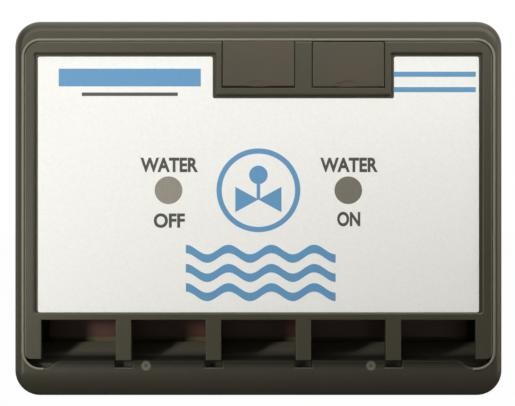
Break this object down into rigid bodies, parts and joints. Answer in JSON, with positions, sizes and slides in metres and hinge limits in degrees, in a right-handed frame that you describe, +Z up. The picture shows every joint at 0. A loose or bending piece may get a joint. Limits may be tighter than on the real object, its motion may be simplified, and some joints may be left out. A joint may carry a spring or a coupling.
{
  "type": "leak detection controller",
  "caption": "Wall-mounted leak detection controller: charcoal moulded case, snap-in face panel with printed label, status lenses, blanking plugs and a row of cable openings.",
  "frame": {"origin": "centre of the back face, in the plane of the wall", "axes": "+Z up, front towards -Y, +Y into the wall, +X along the width"},
  "size_m": [0.127, 0.032, 0.0974],
  "materials": {
    "charcoal_abs": "fine moulded texture",
    "label_film": "satin silver print",
    "smoked_lens": "smoked and frosted",
    "board_laminate": "solder mask",
    "terminal_plastic": "moulded",
    "zinc_steel": "zinc plated",
    "tinned_brass": "tinned",
    "relay_case": "moulded",
    "black_epoxy": "moulded epoxy",
    "nickel_can": "nickel plated",
    "capacitor_sleeve": "shrink sleeve",
    "red_led": "clear tinted epoxy",
    "green_led": "clear tinted epoxy",
    "resistor_coat": "lacquer",
    "fuse_coat": "dipped epoxy"
  },
  "bodies": {
    "root": {"front_shell": "charcoal_abs", "back_plate": "charcoal_abs", "face_panel": "charcoal_abs", "blanking_plug_left": "charcoal_abs", "blanking_plug_right": "charcoal_abs", "label_overlay": "label_film", "indicator_lens_off": "smoked_lens", "indicator_lens_on": "smoked_lens", "circuit_board": "board_laminate", "terminal_block_1": "terminal_plastic", "terminal_block_2": "terminal_plastic", "terminal_block_3": "terminal_plastic", "terminal_block_4": "terminal_plastic", "terminal_block_5": "terminal_plastic", "case_screws": "zinc_steel", "board_screws": "zinc_steel", "terminal_screws": "zinc_steel", "wire_clamps": "tinned_brass", "pin_header": "tinned_brass", "valve_relay_open": "relay_case", "valve_relay_close": "relay_case", "microcontroller": "black_epoxy", "voltage_regulator": "black_epoxy", "driver_transistors": "black_epoxy", "diodes": "black_epoxy", "crystal": "nickel_can", "supply_capacitor": "capacitor_sleeve", "output_capacitor": "capacitor_sleeve", "led_off": "red_led", "led_on": "green_led", "resistors": "resistor_coat", "resettable_fuse": "fuse_coat"}
  },
  "joints": []
}
